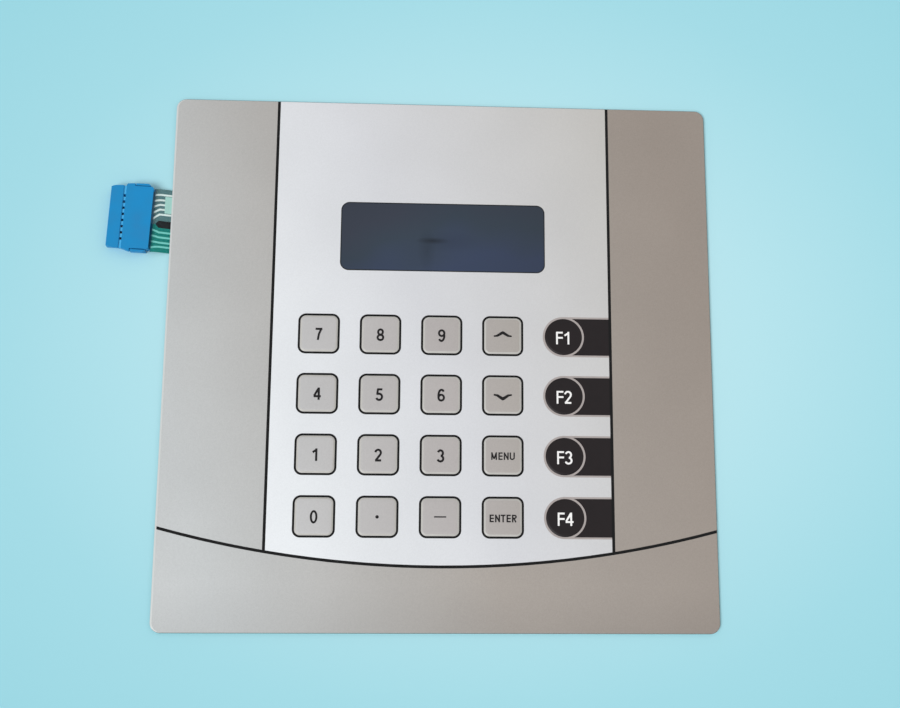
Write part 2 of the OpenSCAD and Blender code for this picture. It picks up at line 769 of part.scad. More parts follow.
// Snap cover with a latch arm on each side and a mouth over the tail
module connector_cover() color([0.16, 0.55, 0.80]) in_connector() {
    cz = conn_z + film_t + 0.05;
    difference() {
        union() {
            translate([0, 0, cz]) linear_extrude(cover_top - cz) polygon([
                [-cover_len, -cover_half], [-0.6, -cover_half], [0, -cover_half + 0.6],
                [0, cover_half + cover_more - 0.6], [-0.6, cover_half + cover_more],
                [-cover_len, cover_half + cover_more]]);
            // shoulders at the front, the lower one slanted
            translate([0, cover_more, 3]) linear_extrude(cover_top - 3) polygon([
                [-cover_len, 13], [-cover_len, 13.8], [-cover_len + 0.5, 14.2], [-7.6, 14.4],
                [-7.6, 13]]);
            translate([0, 0, 3]) linear_extrude(cover_top - 3) polygon([[-cover_len, -13],
                [-cover_len, -13.4], [-8.1, -14.4], [-7.6, -14.45], [-7.6, -13]]);
            for (s = [-1, 1]) translate([0, s > 0 ? cover_more : 0, 0]) {
                // latch arm, free of the cover's side by a narrow gap
                shaped(-7.3, -1.2, [[s * 13.65, 0.4], [s * 13.9, 0.4], [s * 14.8, 3.4],
                    [s * 14.8, 4.4], [s * 13.65, 4.4]], [[-7.3, s * 13], [-7.3, s * arm_half],
                    [-2.1, s * (arm_half + 0.05)], [-1.2, s * 13.7], [-1.2, s * 13]]);
                // web that joins it to the shoulder, and its hook under the tray's catch
                translate([-7.8, s * 13.65 - 0.5, 3]) cube([1.2, 1, 0.8]);
                translate([-6.4, s * 13.4 - 0.4, 0.4]) cube([4.6, 0.8, 0.4]);
            }
        }
        translate([-2.2, -12.2, cz - eps]) cube([2.3, 24.4, 1.8]);
    }
}

// Nine crimped contacts; the sixth position is left empty
module contact() {
    translate([-16.4, -0.7, floor_z]) cube([11.9, 1.4, 0.2]);
    for (y = [-0.7, 0.5]) translate([-16.4, y, floor_z]) cube([4.4, 0.2, 1.2]);
    translate([-8.5, -0.7, floor_z]) cube([3.0, 1.4, conn_z - floor_z]);
}

module contacts() color([0.80, 0.78, 0.72]) in_connector()
    for (i = concat(col_pos, row_pos)) translate([0, conn_y[i], 0]) contact();

overlay_film();
field_centre();
field_left();
field_right();
field_lower();
divider_lines();
key_outlines();
f_surrounds();
f_blocks();
window_tint();
window_border();
legends_black();
legends_white();
key_7();
key_8();
key_9();
key_up();
key_4();
key_5();
key_6();
key_down();
key_1();
key_2();
key_3();
key_menu();
key_0();
key_dot();
key_minus();
key_enter();
key_f1();
key_f2();
key_f3();
key_f4();
overlay_adhesive();
upper_circuit();
column_1();
column_2();
column_3();
column_4();
column_5();
upper_coat();
tail_patch();
spacer();
lower_circuit();
row_1();
row_2();
row_3();
row_4();
lower_coat();
slot_strip();
rear_adhesive();
liner_top();
liner_bottom();
liner_left();
liner_right();
connector_housing();
connector_cover();
contacts();
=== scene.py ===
import math

import bmesh
import bpy
from mathutils import Matrix

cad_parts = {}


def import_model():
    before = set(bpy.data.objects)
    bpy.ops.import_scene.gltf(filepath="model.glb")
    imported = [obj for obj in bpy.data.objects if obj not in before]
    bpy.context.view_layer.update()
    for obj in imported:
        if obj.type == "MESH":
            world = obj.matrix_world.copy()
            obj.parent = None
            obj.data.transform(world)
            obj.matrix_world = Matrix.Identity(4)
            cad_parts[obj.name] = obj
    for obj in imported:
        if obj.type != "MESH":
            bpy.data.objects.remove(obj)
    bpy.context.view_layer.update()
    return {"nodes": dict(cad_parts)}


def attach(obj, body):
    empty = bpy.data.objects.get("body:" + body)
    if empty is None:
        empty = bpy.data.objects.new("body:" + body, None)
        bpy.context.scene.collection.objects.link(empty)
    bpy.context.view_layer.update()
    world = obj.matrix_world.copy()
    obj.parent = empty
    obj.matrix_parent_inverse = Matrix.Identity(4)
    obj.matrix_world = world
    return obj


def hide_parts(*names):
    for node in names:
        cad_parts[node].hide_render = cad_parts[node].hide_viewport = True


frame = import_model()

node_of = frame["nodes"]

# Lengths of the part in millimetres, as in its source or fitted to its solids
MM = 0.001
FILM_LOW, FILM_TOP, INK_TOP, KEY_TOP, CAP_TOP = 0.90, 1.15, 1.20, 1.50, 1.55
PANEL_W, PANEL_H, PANEL_R = 223.2, 222.0, 4.0
PITCH, KEY_X, KEY_Y, F_X = 25.0, -49.7, 9.8, 50.3
RIM_HALF, RIM_R, RIM_W, SLOPE_W = 8.45, 3.175, 0.88, 0.695
DISC_R = 7.7
GROOVE_TOP = 3.7
# The opening behind the window, 0.1 mm smaller on each side than the layers leave it, and how
# far the tint seen there reaches below the film and up into it
WIN_X, WIN_Y, WIN_W, WIN_H, WIN_R = 0.5, 51.9, 83.4, 28.35, 2.9
WIN_BELOW, WIN_INTO = 0.004, 0.05
# The cover's mouth, turned with the connector: the direction across it and its place along that
MOUTH_TURN, MOUTH_X, TAIL_Y = -2.3, -119.2, 56.8
MOUTH_LINE = (math.cos(math.radians(MOUTH_TURN)), math.sin(math.radians(MOUTH_TURN)), 0)
MOUTH_AT = MOUTH_X * MOUTH_LINE[0] + TAIL_Y * MOUTH_LINE[1]
# Height of the band along the panel's lower edge over which the silver fields darken
LOW_BAND = 19.0
# Two vertices of a CAD mesh closer than this are one, in millimetres
MERGE = 1e-3


def linear(hex_colour):
    """An sRGB hex colour as the linear values that a shader works in."""
    parts = [int(hex_colour[i:i + 2], 16) / 255 for i in (0, 2, 4)]
    return (*[c / 12.92 if c <= 0.04045 else ((c + 0.055) / 1.055) ** 2.4 for c in parts], 1.0)


def add(tree, kind, inputs=None, stops=None, **settings):
    """Adds a node. An input is a value or the socket that feeds it; stops are a ramp's colours."""
    node = tree.nodes.new("ShaderNode" + kind)
    for key, value in settings.items():
        setattr(node, key, value)
    for key, value in (inputs or {}).items():
        if isinstance(value, bpy.types.NodeSocket):
            tree.links.new(value, node.inputs[key])
        else:
            node.inputs[key].default_value = value
    for i, (place, colour) in enumerate(stops or []):
        ramp = node.color_ramp
        stop = ramp.elements[i] if i < 2 else ramp.elements.new(place)
        stop.position = place
        stop.color = linear(colour) if isinstance(colour, str) else (colour,) * 3 + (1,)
    return node


def start(name, **shader_inputs):
    """A new material with its output, its shader and Object coordinates in millimetres."""
    material = bpy.data.materials.new(name)
    material.use_nodes = True
    tree = material.node_tree
    tree.nodes.clear()
    out = add(tree, "OutputMaterial")
    shader = add(tree, "BsdfPrincipled",
                 {k.replace("_", " "): v for k, v in shader_inputs.items()})
    tree.links.new(shader.outputs[0], out.inputs[0])
    coords = add(tree, "TexCoord")
    mm = add(tree, "Mapping", {"Vector": coords.outputs["Object"], "Scale": (1000,) * 3})
    return material, tree, shader, mm.outputs[0]


def relief(tree, shader, texture, strength, depth):
    """Lets a texture raise the surface, by a depth in millimetres."""
    bump = add(tree, "Bump", {"Height": texture.outputs[0], "Strength": strength,
                              "Distance": depth * MM})
    tree.links.new(bump.outputs[0], shader.inputs["Normal"])


def clouds(tree, shader, vector, size, detail, stops):
    """Lets the base colour wander between the stops, in clouds of a size in millimetres."""
    cloud = add(tree, "TexNoise", {"Vector": vector, "Scale": 1 / size, "Detail": detail})
    tone = add(tree, "ValToRGB", {"Fac": cloud.outputs[0]}, stops=stops)
    tree.links.new(tone.outputs[0], shader.inputs["Base Color"])
    return cloud


def shaded(hex_colour, share):
    """A share of a colour's light, or more than all of it up to white."""
    return (*[min(1, c * share) for c in linear(hex_colour)[:3]], 1)


def velvet(tree, shader, mm):
    """Fine pebble of the film's hard coat: about 0.1 mm on the real film, drawn at 0.45 mm
    so that it shows, 6 micrometres deep."""
    pebble = add(tree, "TexNoise", {"Vector": mm, "Scale": 1 / 0.45, "Detail": 3.0})
    relief(tree, shader, pebble, 0.5, 0.006)
    return pebble


# Screen inks on the back of a polyester film, seen through it


def silver_ink(name, light_drift_line, tones, flake, metallic, roughness, low_end=1.0):
    """Silver screen ink behind velvet polyester film: aluminium flakes in a clear binder give a
    soft metal glow with a fine sparkle. Its base colour is painted light: along light_drift_line
    it drifts from cool and light, a painted reflection of the lamp, to warm and dark, painted
    shade.
    Towards the panel's lower edge it dims to the share low_end."""
    material, tree, shader, mm = start(name, Metallic=metallic, Roughness=roughness,
                                       Coat_Weight=0.15, Coat_Roughness=0.38)
    pebble = velvet(tree, shader, mm)
    # Painted light: the tones run from the lit, cool end of the line to the shaded, warm end
    along = add(tree, "VectorMath", {0: mm, 1: (*light_drift_line, 0)}, operation="DOT_PRODUCT")
    across = add(tree, "MapRange", {"Value": along.outputs["Value"], "From Min": -112,
                                    "From Max": 112})
    tone = add(tree, "ValToRGB", {"Fac": across.outputs[0]},
               stops=[(0.0, tones[0]), (1.0, tones[2]), (0.5, tones[1])])
    # Flakes about 0.05 mm wide, drawn at 0.35 mm so that they show
    cells = add(tree, "TexVoronoi", {"Vector": mm, "Scale": 1 / 0.35})
    spark = add(tree, "MapRange", {"Value": cells.outputs["Color"], "To Min": 1 - flake,
                                   "To Max": 1 + flake})
    # Drift of the ink film's thickness from the squeegee, about 40 mm long
    cloud = add(tree, "TexNoise", {"Vector": mm, "Scale": 1 / 40, "Detail": 1.0})
    drift = add(tree, "MapRange", {"Value": cloud.outputs[0], "From Min": 0.3, "From Max": 0.7,
                                   "To Min": 0.975, "To Max": 1.025})
    both = add(tree, "Math", {0: spark.outputs[0], 1: drift.outputs[0]}, operation="MULTIPLY")
    place = add(tree, "SeparateXYZ", {"Vector": mm})
    dim = add(tree, "MapRange", {"Value": place.outputs["Y"], "From Min": -PANEL_H / 2,
                                 "From Max": LOW_BAND - PANEL_H / 2, "To Min": low_end})
    level = add(tree, "Math", {0: both.outputs[0], 1: dim.outputs[0]}, operation="MULTIPLY")
    shade = add(tree, "VectorMath", {0: tone.outputs[0], "Scale": level.outputs[0]},
                operation="SCALE")
    tree.links.new(shade.outputs[0], shader.inputs["Base Color"])
    gloss = add(tree, "MapRange", {"Value": pebble.outputs[0], "To Min": roughness - 0.05,
                                   "To Max": roughness + 0.07})
    tree.links.new(gloss.outputs[0], shader.inputs["Roughness"])
    return material


def flat_ink(name, colour, roughness=0.42, spread=0.06, **more):
    """One-colour screen ink behind velvet polyester film: even, satin, with slight mottling
    where the mesh laid down more or less ink."""
    material, tree, shader, mm = start(name, Roughness=roughness, **more)
    velvet(tree, shader, mm)
    mottle = add(tree, "TexNoise", {"Vector": mm, "Scale": 1 / 3.0, "Detail": 4.0})
    drift = add(tree, "MapRange", {"Value": mottle.outputs[0], "From Min": 0.25, "From Max": 0.75,
                                   "To Min": 1 - spread, "To Max": 1 + spread})
    shade = add(tree, "VectorMath", {0: linear(colour)[:3], "Scale": drift.outputs[0]},
                operation="SCALE")
    tree.links.new(shade.outputs[0], shader.inputs["Base Color"])
    return material


# The three tones of each ink run from lit to shaded along its line: painted light
centre_silver = silver_ink("White silver ink under velvet film", (0.934, 0.358),
                           ("F0F5F9", "D5D7DC", "BDBBB7"), 0.03, 0.15, 0.42)
field_silver = silver_ink("Silver ink under velvet film", (0.966, 0.259),
                          ("BEC1C2", "A49D97", "948A82"), 0.05, 0.45, 0.42, low_end=0.88)
key_silver = silver_ink("Key silver ink under velvet film", (0.988, 0.156),
                        ("C7CACC", "B0ABAA", "938B79"), 0.04, 0.35, 0.42)
line_black = flat_ink("Black line ink under velvet film", "0D0D0E", Specular_IOR_Level=0.15)
bar_black = flat_ink("Charcoal ink under velvet film", "1A1416", spread=0.10,
                     Specular_IOR_Level=0.2)
ring_grey = flat_ink("Pale grey ring ink", "A9A19F")
slope_grey = flat_ink("Pale grey ink on the embossed slope", "BEBDB9", roughness=0.40)
legend_black = flat_ink("Black legend ink", "141214", roughness=0.40, Specular_IOR_Level=0.2)
legend_white = flat_ink("White legend ink", "FAFAFA", roughness=0.36, spread=0.02)
film_white = flat_ink("Bare velvet polyester film", "CDD0D0", roughness=0.30, spread=0.02)
cut_edge = flat_ink("Die-cut edge of the printed film", "2A2C2B", roughness=0.45,
                    Specular_IOR_Level=0.2)


def tinted_window():
    """Smoke tint on the clear, polished area of the film: deep blue grey and nearly as smooth
    as glass, with wipe marks in its gloss. Its colour is lighter round a middle and darker farther
    out, and carries one painted reflection: a dark stroke."""
    material, tree, shader, mm = start("Smoke tint on polished film", Roughness=0.16,
                                       IOR=1.57, Specular_IOR_Level=0.25)
    # From greyer at the upper left to bluer at the lower right, in clouds about 38 mm long
    along = add(tree, "VectorMath", {0: mm, 1: (0.25, -1, 0)}, operation="DOT_PRODUCT")
    slant = add(tree, "MapRange", {"Value": along.outputs["Value"], "From Min": -78,
                                   "From Max": -32})
    cloud = add(tree, "TexNoise", {"Vector": mm, "Scale": 1 / 38, "Detail": 1.0})
    wander = add(tree, "MapRange", {"Value": cloud.outputs[0], "From Min": 0.3, "From Max": 0.7,
                                    "To Min": -0.25, "To Max": 0.25})
    mixed = add(tree, "Math", {0: slant.outputs[0], 1: wander.outputs[0]}, operation="ADD")
    tone = add(tree, "ValToRGB", {"Fac": mixed.outputs[0]},
               stops=[(0.1, "323948"), (0.9, "303D58"), (0.5, "2E3B4A")])
    # Lighter round a middle and darker farther out, thinning towards the right-hand end, over
    # about 60 mm
    ends = add(tree, "Mapping", {"Vector": mm, "Location": (-8, 46, 0), "Scale": (70, 38, 1000)},
               vector_type="TEXTURE")
    lighter_middle = add(tree, "TexGradient", {"Vector": ends.outputs[0]}, gradient_type="SPHERICAL")
    level = add(tree, "MapRange", {"Value": lighter_middle.outputs["Fac"], "To Min": 0.68, "To Max": 1.03,
                                   "From Max": 0.8})
    # Painted reflection: a dark stroke that thins out to the right,
    # with a soft tail below its left end
    dark_reflection = None
    for place, size, dark in (((-3.9, 50.4, 0), (7.2, 1.6, 1000), 0.80),
                              ((2.5, 50.0, 0), (14, 5, 1000), 0.22),
                              ((-6.2, 46.5, 0), (4.0, 10, 1000), 0.28)):
        spot = add(tree, "Mapping", {"Vector": mm, "Location": place, "Scale": size},
                   vector_type="TEXTURE")
        soft = add(tree, "TexGradient", {"Vector": spot.outputs[0]}, gradient_type="SPHERICAL")
        kept = add(tree, "MapRange", {"Value": soft.outputs["Fac"], "To Min": 1.0,
                                      "To Max": 1 - dark})
        dark_reflection = kept.outputs[0] if dark_reflection is None else add(
            tree, "Math", {0: dark_reflection, 1: kept.outputs[0]}, operation="MULTIPLY").outputs[0]
    lit = add(tree, "VectorMath", {0: tone.outputs[0], "Scale": level.outputs[0]},
              operation="SCALE")
    # Mixes the tint towards deep blue black where the painted reflection lies
    shade = add(tree, "Mix", {"Factor": dark_reflection, "A": linear("06121F"), "B": lit.outputs[0]},
                data_type="RGBA")
    tree.links.new(shade.outputs["Result"], shader.inputs["Base Color"])
    # Wipe marks: long soft streaks in the gloss, 30 mm by 1.5 mm
    stretched = add(tree, "Mapping", {"Vector": mm, "Scale": (1 / 30, 1 / 1.5, 1),
                                      "Rotation": (0, 0, 0.35)})
    streak = add(tree, "TexNoise", {"Vector": stretched.outputs[0], "Scale": 1.0, "Detail": 3.0})
    gloss = add(tree, "MapRange", {"Value": streak.outputs[0], "To Min": 0.11, "To Max": 0.23})
    tree.links.new(gloss.outputs[0], shader.inputs["Roughness"])
    return material


def mouth_shade(tree, mm, colour):
    """A film's colour with a dark blue line along the cover's mouth, where the lip keeps the
    light off it and is mirrored in its gloss; it is gone 0.85 mm away."""
    far = add(tree, "VectorMath", {0: mm, 1: MOUTH_LINE}, operation="DOT_PRODUCT")
    level = add(tree, "MapRange", {"Value": far.outputs["Value"], "From Min": MOUTH_AT + 0.3,
                                   "From Max": MOUTH_AT + 0.85})
    return add(tree, "Mix", {"Factor": level.outputs[0], "A": linear("1A6082"), "B": colour},
               data_type="RGBA").outputs["Result"]


def clear_film():
    """Clear heat-stabilised polyester of the circuit films: nearly colourless and glossy, so the
    silver conductors show through it."""
    material, tree, shader, mm = start("Clear circuit film", Roughness=0.16, IOR=1.57,
                                       Alpha=0.06)
    clouds(tree, shader, mm, 2.5, 2.0, [(0.3, "C4D8D4"), (0.7, "DCEAE8")])
    return material


def printed_coat(name, colour, alpha, roughness):
    """Screen printed insulating coat over the conductors: a satin lacquer with pinholes and the
    faint weave of the printing mesh, drawn at 0.3 mm."""
    material, tree, shader, mm = start(name, Roughness=roughness, Alpha=alpha,
                                       Specular_IOR_Level=0.25)
    weave = add(tree, "TexNoise", {"Vector": mm, "Scale": 1 / 0.3, "Detail": 2.0})
    tone = add(tree, "Mix", {"Factor": weave.outputs[0], "A": shaded(colour, 0.82),
                             "B": shaded(colour, 1.18)}, data_type="RGBA")
    tree.links.new(mouth_shade(tree, mm, tone.outputs["Result"]), shader.inputs["Base Color"])
    relief(tree, shader, weave, 0.3, 0.01)
    return material


def silver_conductor(name, colour):
    """Silver polymer ink: fine flakes in a resin, pale and satin rather than bright metal."""
    material, tree, shader, mm = start(name, Metallic=0.25, Roughness=0.46)
    grain = add(tree, "TexNoise", {"Vector": mm, "Scale": 1 / 0.25, "Detail": 3.0})
    tone = add(tree, "Mix", {"Factor": grain.outputs[0], "A": shaded(colour, 0.85),
                             "B": linear(colour)}, data_type="RGBA")
    tree.links.new(mouth_shade(tree, mm, tone.outputs["Result"]), shader.inputs["Base Color"])
    return material


def moulded_blue(name, tones):
    """Injection moulded nylon, sky blue: smooth but not polished, with the light sparked texture
    of the mould, drawn at 0.4 mm, and flow clouds a few millimetres long."""
    material, tree, shader, mm = start(name, Roughness=0.40, IOR=1.53,
                                       Specular_IOR_Level=0.2)
    clouds(tree, shader, mm, 7.0, 2.0, [(0.30, tones[0]), (0.72, tones[2]), (0.5, tones[1])])
    spark = add(tree, "TexNoise", {"Vector": mm, "Scale": 1 / 0.4, "Detail": 3.0})
    relief(tree, shader, spark, 0.5, 0.012)
    return material


def tinned_contact():
    """Tin plated phosphor bronze, stamped: soft bright metal with draw lines along it."""
    material, tree, shader, mm = start("Tinned phosphor bronze", Metallic=1.0, Roughness=0.32)
    lines = add(tree, "Mapping", {"Vector": mm, "Scale": (0.3, 12, 12)})
    clouds(tree, shader, lines.outputs[0], 1.0, 2.0, [(0.3, "B9B4A6"), (0.7, "D9D5CA")])
    return material


def release_paper():
    """Siliconed release paper on the back: off-white, slightly glossy, with paper fibre."""
    material, tree, shader, mm = start("Siliconed release paper", Roughness=0.33)
    fibre = clouds(tree, shader, mm, 1.8, 6.0, [(0.3, "E9E5D6"), (0.7, "F2EFE4")])
    relief(tree, shader, fibre, 0.3, 0.02)
    return material


def tape_black():
    """Black polyester strip that closes the slot in the tail: smooth, satin, a little worn."""
    material, tree, shader, mm = start("Black polyester strip", Roughness=0.45,
                                       Specular_IOR_Level=0.2)
    clouds(tree, shader, mm, 1.6, 4.0, [(0.35, "0A0E12"), (0.75, "1A2228")])
    return material


window_tint, film_clear = tinted_window(), clear_film()
conductor_up = silver_conductor("Silver polymer ink", "E4F8F6")
conductor_low = silver_conductor("Silver polymer ink under green coat", "96F9F1")
coat_dark = printed_coat("Dark insulating coat", "2A676D", 1.0, 0.45)
coat_green = printed_coat("Green insulating coat", "158B82", 0.12, 0.40)
patch_mint = printed_coat("Pale mint patch", "A6D8D0", 1.0, 0.45)
film_low = printed_coat("Green backed circuit film", "158B82", 1.0, 0.40)
spacer_film = printed_coat("Spacer film", "6E7273", 1.0, 0.35)
# Seen only as a dull dark grey line in the panel's edge
adhesive = printed_coat("Acrylic transfer adhesive", "5A5B57", 1.0, 0.35)
strip_black = tape_black()
blue = moulded_blue("Blue moulded nylon", ("168BC9", "1A89C5", "2186C1"))
# The groove floor's lighter blue is a painted highlight
groove_highlight_blue = moulded_blue("Blue nylon with a painted highlight on the groove floor", ("4CBBF0", "4EBBEC", "56C0EC"))
tin, paper = tinned_contact(), release_paper()
border_black = flat_ink("Window border ink", "171B20", roughness=0.30, Specular_IOR_Level=0.2)


def dress(material, *names):
    """Gives a material to CAD nodes."""
    for name in names:
        for one in node_of[name].material_slots:
            one.material = material


dress(centre_silver, "field_centre")
dress(field_silver, "field_left", "field_right", "field_lower")
dress(line_black, "divider_lines")
dress(bar_black, "f_blocks")
dress(ring_grey, "f_surrounds")
dress(window_tint, "window_tint")
dress(border_black, "window_border")
dress(adhesive, "overlay_adhesive", "rear_adhesive")
dress(film_clear, "upper_circuit")
dress(film_low, "lower_circuit")
dress(conductor_low, *[f"row_{i}" for i in range(1, 5)])
dress(patch_mint, "tail_patch")
dress(spacer_film, "spacer")
dress(strip_black, "slot_strip")
dress(paper, "liner_top", "liner_bottom", "liner_left", "liner_right")
dress(tin, "contacts")


def placed(name, data):
    """A new object with this data, in the scene."""
    made = bpy.data.objects.new(name, data)
    bpy.context.scene.collection.objects.link(made)
    return made


def piece(name, bm, materials, stands_for=(), sharp=35):
    """Closes a bmesh, made in millimetres, into an object that rides on the keypad and stands
    for its CAD nodes."""
    mesh = bpy.data.meshes.new(name)
    bmesh.ops.recalc_face_normals(bm, faces=bm.faces)
    bmesh.ops.scale(bm, vec=(MM,) * 3, verts=bm.verts)
    bm.to_mesh(mesh)
    bm.free()
    for material in materials:
        mesh.materials.append(material)
    mesh.shade_smooth()
    mesh.set_sharp_from_angle(angle=math.radians(sharp))
    made = placed(name, mesh)
    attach(made, "root")
    if stands_for:
        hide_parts(*stands_for)
    return made


def copied(node):
    """A CAD node's mesh in millimetres, with its doubled vertices merged."""
    bm = bmesh.new()
    bm.from_mesh(node_of[node].data)
    bmesh.ops.scale(bm, vec=(1 / MM,) * 3, verts=bm.verts)
    bmesh.ops.remove_doubles(bm, verts=bm.verts, dist=MERGE)
    return bm


def key_place(column, row):
    """The middle of a key, by its place in the grid from the upper left."""
    return KEY_X + column * PITCH, KEY_Y - row * PITCH


def put_in_order(bm):
    """Sorts the faces and edges of a shape made here by their vertices, because the order in
    which the operators leave them changes from run to run."""
    bm.verts.index_update()
    for elements in (bm.faces, bm.edges):
        ordered = sorted(elements, key=lambda one: sorted(v.index for v in one.verts))
        rank = {one: i for i, one in enumerate(ordered)}
        elements.sort(key=rank.get)


def rounded_block(bm, x, y, width, height, low, high, radius, steps=10):
    """Upright block with round corners, sizes in millimetres; returns its top face."""
    verts = bmesh.ops.create_cube(bm, size=1)["verts"]
    bmesh.ops.scale(bm, vec=(width, height, high - low), verts=verts)
    bmesh.ops.translate(bm, vec=(x, y, (low + high) / 2), verts=verts)
    upright = dict.fromkeys(e for v in verts for e in v.link_edges
                            if abs(e.verts[0].co.z - e.verts[1].co.z) > 0.1 * (high - low))
    made = bmesh.ops.bevel(bm, geom=list(upright), offset=radius, segments=steps,
                           profile=0.5, affect="EDGES", material=-1)
    near = [f for v in made["verts"] for f in v.link_faces]
    return max(near, key=lambda f: f.calc_center_median().z)


def film_sheet():
    """The graphic film: one sheet, its upper edge barely broken by the die."""
    bm = bmesh.new()
    rounded_block(bm, 0, 0, PANEL_W, PANEL_H, FILM_LOW, FILM_TOP, PANEL_R, steps=12)
    rim = [e for e in bm.edges if abs(e.verts[0].co.z - e.verts[1].co.z) < 1e-4
           and e.verts[0].co.z > FILM_LOW + 0.1]
    bmesh.ops.bevel(bm, geom=rim, offset=0.12, segments=2, profile=0.5, affect="EDGES",
                    material=-1)
    # The cut edge is dark, apart from the left-hand one, where the film has a bare margin
    bm.normal_update()
    for f in bm.faces:
        if abs(f.normal.z) < 0.95 and f.normal.x > -0.3:
            f.material_index = 1
    put_in_order(bm)
    return piece("graphic_film", bm, [film_white, cut_edge], ["overlay_film"])


def window_back():
    """The tinted area of the film as it shows from behind, in the opening of the layers."""
    bm = bmesh.new()
    rounded_block(bm, WIN_X, WIN_Y, WIN_W, WIN_H, FILM_LOW - WIN_BELOW,
                  FILM_LOW + WIN_INTO, WIN_R)
    put_in_order(bm)
    return piece("window_back", bm, [window_tint])


def step_in(bm, face, profile, index):
    """Insets a face by each (inwards, upwards) step of a profile; the new rings get a material."""
    for inwards, upwards in profile:
        bm.normal_update()
        ring = bmesh.ops.inset_region(bm, faces=[face], thickness=inwards,
                                      depth=upwards, use_even_offset=True)["faces"]
        for f in ring:
            f.material_index = index


# The square keys' slope and crown as (inwards, upwards) steps; the slope's steps rise by 0.35 mm
# together and are drawn to rise by 0.3 mm, from the ink's top to the foot of the cap's crown
SLOPE = [(0.09, 0.015), (0.11, 0.065), (0.15, 0.11), (0.14, 0.09), (0.11, 0.05), (0.095, 0.02)]
SLOPE_STEPS_RISE, SLOPE_RISE = 0.35, 0.3
CROWN = [(0.2, 0.018), (0.45, 0.014), (0.65, 0.010)]


def key_rims():
    """The square keys' flat black outlines, each with a soft embossed slope inside it."""
    bm = bmesh.new()
    for column in range(4):
        for row in range(4):
            top = rounded_block(bm, *key_place(column, row), 2 * RIM_HALF, 2 * RIM_HALF,
                                FILM_TOP, INK_TOP, RIM_R)
            step_in(bm, top, [(RIM_W, 0.0)], 0)
            step_in(bm, top, [(a, b * SLOPE_RISE / SLOPE_STEPS_RISE) for a, b in SLOPE], 1)
            top.material_index = 1
    put_in_order(bm)
    return piece("key_rims", bm, [line_black, slope_grey], ["key_outlines"])


def key_cap(name, column, row):
    """The slightly crowned cap of one square key."""
    bm = bmesh.new()
    half = RIM_HALF - RIM_W - SLOPE_W
    top = rounded_block(bm, *key_place(column, row), 2 * half, 2 * half,
                        FILM_TOP, KEY_TOP, RIM_R - RIM_W - SLOPE_W)
    step_in(bm, top, CROWN, 0)
    put_in_order(bm)
    return piece("cap_" + name, bm, [key_silver], ["key_" + name])


def round_key(number):
    """One round function key: a lathed black cap with a rolled edge."""
    bm = bmesh.new()
    profile = [(0, CAP_TOP), (3.0, 1.548), (5.6, 1.54), (6.6, 1.52), (6.95, 1.49), (7.2, 1.43),
               (7.4, 1.33), (7.54, 1.25), (DISC_R, INK_TOP), (DISC_R, FILM_TOP), (0, FILM_TOP)]
    verts = [bm.verts.new((r, 0, z)) for r, z in profile]
    edges = [bm.edges.new(pair) for pair in zip(verts, verts[1:])]
    bmesh.ops.spin(bm, geom=verts + edges, cent=(0, 0, 0), axis=(0, 0, 1),
                   angle=2 * math.pi, steps=96, use_merge=True)
    bmesh.ops.remove_doubles(bm, verts=bm.verts, dist=1e-4)
    bmesh.ops.translate(bm, vec=(F_X, KEY_Y - (number - 1) * PITCH, 0), verts=bm.verts)
    put_in_order(bm)
    return piece(f"disc_f{number}", bm, [bar_black], [f"key_f{number}"])


def moulded(name, node, radius):
    """A moulding of the connector, its edges rounded as a mould leaves them."""
    bm = copied(node)
    bmesh.ops.dissolve_limit(bm, angle_limit=0.02, verts=bm.verts, edges=bm.edges)
    corners = [e for e in bm.edges if e.is_manifold and e.calc_face_angle(0) > 0.5]
    bmesh.ops.bevel(bm, geom=corners, offset=radius, segments=2, profile=0.5,
                    affect="EDGES", material=-1, clamp_overlap=True)
    # Painted highlight: the floor of the housing's groove gets a lighter blue than the walls, as
    # if it caught more light
    for f in bm.faces:
        if f.normal.z > 0.7 and abs(f.calc_center_median().z - GROOVE_TOP) < 0.05:
            f.material_index = 1
    return piece(name, bm, [blue, groove_highlight_blue], [node], sharp=12)


def lifted(name, node, material, rise):
    """A printed layer of the tail on its own plane, a hair away from the film that it touches:
    two clear faces at one place would hide what lies behind them."""
    bm = copied(node)
    bmesh.ops.translate(bm, vec=(0, 0, rise), verts=bm.verts)
    return piece(name, bm, [material], [node])


# How far the legends' outlines are drawn in, in millimetres: the printed strokes are a little
# finer than the font's, and the two arrows a little bolder. By (column, row) of the key
DRAWN_IN, DRAWN_IN_WHITE = 0.05, 0.09
ARROWS, WORDS, DOT_AND_DASH = [(3, 0), (3, 1)], [(3, 2), (3, 3)], [(1, 3), (2, 3)]
DRAWN_IN_BY_KEY = {**dict.fromkeys(ARROWS, -0.06), **dict.fromkeys(WORDS, 0.02),
                   **dict.fromkeys(DOT_AND_DASH, 0)}
# The least divisor at a corner, so that a sharp one isn't drawn in without end
SHARPEST = 0.4


def legends(name, node, material, otherwise, by_key):
    """The CAD's legends with their outlines drawn in, by the amount for their key or otherwise."""
    bm = copied(node)
    bmesh.ops.recalc_face_normals(bm, faces=bm.faces)
    moves = []
    for v in bm.verts:
        walls = [f.normal for f in v.link_faces if abs(f.normal.z) < 0.5]
        one = walls[0]
        other = min(walls, key=one.dot)
        key = (round((v.co.x - KEY_X) / PITCH), round((KEY_Y - v.co.y) / PITCH))
        amount = by_key.get(key, otherwise)
        moves.append((v, (one + other) * (-amount / max(SHARPEST, 1 + one.dot(other)))))
    for v, move in moves:
        v.co += move
    return piece(name, bm, [material], [node])


